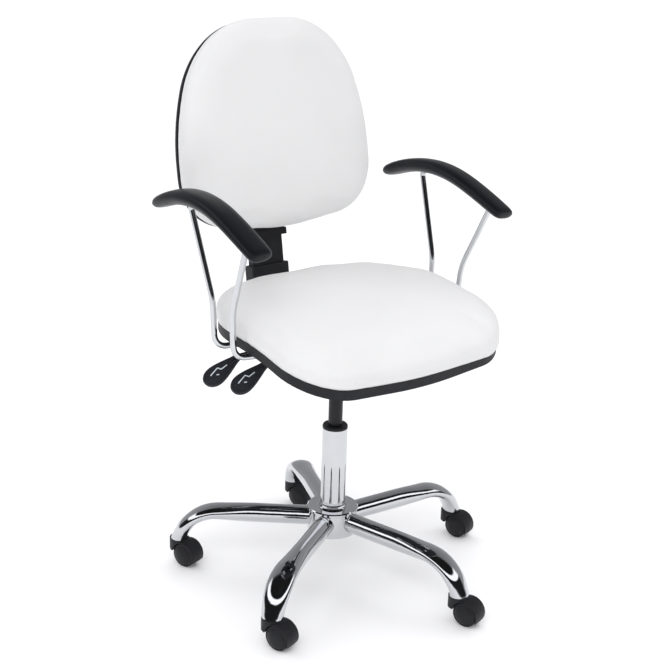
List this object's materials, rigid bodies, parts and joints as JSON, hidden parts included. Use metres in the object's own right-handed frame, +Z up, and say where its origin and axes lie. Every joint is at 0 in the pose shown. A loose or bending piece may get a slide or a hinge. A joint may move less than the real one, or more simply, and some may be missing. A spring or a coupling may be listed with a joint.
{
  "type": "dentist stool",
  "caption": "Swivel work chair on a star base with castors: gas lift, padded seat, tilting and sliding padded back, and arm rests on bent rod frames.",
  "frame": {"origin": "on the floor, on the column's centre line", "axes": "+Z up along the column, -Y the way the sitter faces, -X the sitter's right, where the levers are"},
  "size_m": [0.6487, 0.6604, 1.0777],
  "materials": {
    "chrome_plate": "bright plated steel tube",
    "castor_plastic": "black moulded nylon, low sheen",
    "black_plastic": "black moulded plastic, fine satin",
    "black_paint": "black powder coat",
    "steel": "zinc-plated and ground steel",
    "lever_plastic": "dark grey moulded plastic, soft gloss",
    "pad_skin": "black self-skinned foam with a fine grain",
    "plywood": "raw pressed plywood",
    "white_vinyl": "smooth white artificial leather"
  },
  "bodies": {
    "base": {"hub_shell": "chrome_plate", "hub_cover": "chrome_plate", "leg_1": "chrome_plate", "leg_2": "chrome_plate", "leg_3": "chrome_plate", "leg_4": "chrome_plate", "leg_5": "chrome_plate", "column_tube": "chrome_plate", "column_bush": "black_plastic", "castor_stems": "steel", "thrust_bearing": "steel"},
    "lift_rod": {"piston_rod": "steel", "retaining_clip": "steel"},
    "seat": {"gas_cylinder": "black_paint", "mechanism_housing": "black_paint", "seat_pan": "black_plastic", "seat_board": "plywood", "seat_cushion": "white_vinyl", "seat_bolts": "steel", "arm_bolts": "steel", "arm_frame_left": "chrome_plate", "arm_frame_right": "chrome_plate", "arm_pad_left": "pad_skin", "arm_pad_right": "pad_skin", "back_pivot_pin": "steel", "return_springs": "steel"},
    "valve": {"valve_pin": "steel"},
    "height_lever": {"height_lever_rod": "black_paint", "height_lever_paddle": "lever_plastic"},
    "tilt_lever": {"tilt_lever_rod": "black_paint", "tilt_lever_paddle": "lever_plastic"},
    "back_carrier": {"back_upright": "black_paint", "lower_cover": "black_plastic", "middle_cover": "black_plastic"},
    "backrest": {"slide_bracket": "black_paint", "upper_cover": "black_plastic", "back_shell": "black_plastic", "back_board": "plywood", "back_screws": "steel", "back_cushion": "white_vinyl"},
    "castor_1": {"castor_1_fork": "castor_plastic", "castor_1_axle": "steel"},
    "wheel_1a": {"castor_1_wheel_a": "castor_plastic"},
    "wheel_1b": {"castor_1_wheel_b": "castor_plastic"},
    "castor_2": {"castor_2_fork": "castor_plastic", "castor_2_axle": "steel"},
    "wheel_2a": {"castor_2_wheel_a": "castor_plastic"},
    "wheel_2b": {"castor_2_wheel_b": "castor_plastic"},
    "castor_3": {"castor_3_fork": "castor_plastic", "castor_3_axle": "steel"},
    "wheel_3a": {"castor_3_wheel_a": "castor_plastic"},
    "wheel_3b": {"castor_3_wheel_b": "castor_plastic"},
    "castor_4": {"castor_4_fork": "castor_plastic", "castor_4_axle": "steel"},
    "wheel_4a": {"castor_4_wheel_a": "castor_plastic"},
    "wheel_4b": {"castor_4_wheel_b": "castor_plastic"},
    "castor_5": {"castor_5_fork": "castor_plastic", "castor_5_axle": "steel"},
    "wheel_5a": {"castor_5_wheel_a": "castor_plastic"},
    "wheel_5b": {"castor_5_wheel_b": "castor_plastic"}
  },
  "joints": [
    {"name": "seat_swivel", "type": "hinge", "parent": "base", "child": "lift_rod", "pos_m": [0, 0, 0.08], "axis": [0, 0, 1], "continuous": true},
    {"name": "seat_height", "type": "slide", "parent": "lift_rod", "child": "seat", "axis": [0, 0, 1], "range_m": [-0.12, 0.01]},
    {"name": "valve_press", "type": "slide", "parent": "seat", "child": "valve", "axis": [0, 0, -1], "range_m": [0, 0.0039]},
    {"name": "height_lever_pull", "type": "hinge", "parent": "seat", "child": "height_lever", "pos_m": [-0.064, -0.03, 0.494], "axis": [0, 1, 0], "range_deg": [0, 3.5], "stiffness_Nm_per_rad": 30, "springref_deg": -1.72},
    {"name": "tilt_lever_pull", "type": "hinge", "parent": "seat", "child": "tilt_lever", "pos_m": [-0.064, 0.03, 0.494], "axis": [0, 1, 0], "range_deg": [0, 4], "stiffness_Nm_per_rad": 30, "springref_deg": -1.72},
    {"name": "back_tilt", "type": "hinge", "parent": "seat", "child": "back_carrier", "pos_m": [0, 0.095, 0.497], "axis": [-1, 0, 0], "range_deg": [-4, 12]},
    {"name": "back_height", "type": "slide", "parent": "back_carrier", "child": "backrest", "axis": [0, 0.165, 0.9863], "range_m": [-0.045, 0.025]},
    {"name": "castor_1_swivel", "type": "hinge", "parent": "base", "child": "castor_1", "pos_m": [-0.23502, 0.20215, 0.05], "axis": [0, 0, 1], "continuous": true},
    {"name": "wheel_1a_roll", "type": "hinge", "parent": "castor_1", "child": "wheel_1a", "pos_m": [-0.22917, 0.18251, 0.025], "axis": [0.9583, 0.2857, 0], "continuous": true},
    {"name": "wheel_1b_roll", "type": "hinge", "parent": "castor_1", "child": "wheel_1b", "pos_m": [-0.22917, 0.18251, 0.025], "axis": [0.9583, 0.2857, 0], "continuous": true},
    {"name": "castor_2_swivel", "type": "hinge", "parent": "base", "child": "castor_2", "pos_m": [-0.26488, -0.16105, 0.05], "axis": [0, 0, 1], "continuous": true},
    {"name": "wheel_2a_roll", "type": "hinge", "parent": "castor_2", "child": "wheel_2a", "pos_m": [-0.25903, -0.1807, 0.025], "axis": [0.9583, 0.2857, 0], "continuous": true},
    {"name": "wheel_2b_roll", "type": "hinge", "parent": "castor_2", "child": "wheel_2b", "pos_m": [-0.25903, -0.1807, 0.025], "axis": [0.9583, 0.2857, 0], "continuous": true},
    {"name": "castor_3_swivel", "type": "hinge", "parent": "base", "child": "castor_3", "pos_m": [0.07132, -0.30168, 0.05], "axis": [0, 0, 1], "continuous": true},
    {"name": "wheel_3a_roll", "type": "hinge", "parent": "castor_3", "child": "wheel_3a", "pos_m": [0.07717, -0.32133, 0.025], "axis": [0.9583, 0.2857, 0], "continuous": true},
    {"name": "wheel_3b_roll", "type": "hinge", "parent": "castor_3", "child": "wheel_3b", "pos_m": [0.07717, -0.32133, 0.025], "axis": [0.9583, 0.2857, 0], "continuous": true},
    {"name": "castor_4_swivel", "type": "hinge", "parent": "base", "child": "castor_4", "pos_m": [0.30896, -0.0254, 0.05], "axis": [0, 0, 1], "continuous": true},
    {"name": "wheel_4a_roll", "type": "hinge", "parent": "castor_4", "child": "wheel_4a", "pos_m": [0.31481, -0.04505, 0.025], "axis": [0.9583, 0.2857, 0], "continuous": true},
    {"name": "wheel_4b_roll", "type": "hinge", "parent": "castor_4", "child": "wheel_4b", "pos_m": [0.31481, -0.04505, 0.025], "axis": [0.9583, 0.2857, 0], "continuous": true},
    {"name": "castor_5_swivel", "type": "hinge", "parent": "base", "child": "castor_5", "pos_m": [0.11963, 0.28599, 0.05], "axis": [0, 0, 1], "continuous": true},
    {"name": "wheel_5a_roll", "type": "hinge", "parent": "castor_5", "child": "wheel_5a", "pos_m": [0.12549, 0.26634, 0.025], "axis": [0.9583, 0.2857, 0], "continuous": true},
    {"name": "wheel_5b_roll", "type": "hinge", "parent": "castor_5", "child": "wheel_5b", "pos_m": [0.12549, 0.26634, 0.025], "axis": [0.9583, 0.2857, 0], "continuous": true}
  ],
  "couplings": [
    {"joint": "valve_press", "follows": "height_lever_pull", "m_per_rad": 0.0625}
  ]
}
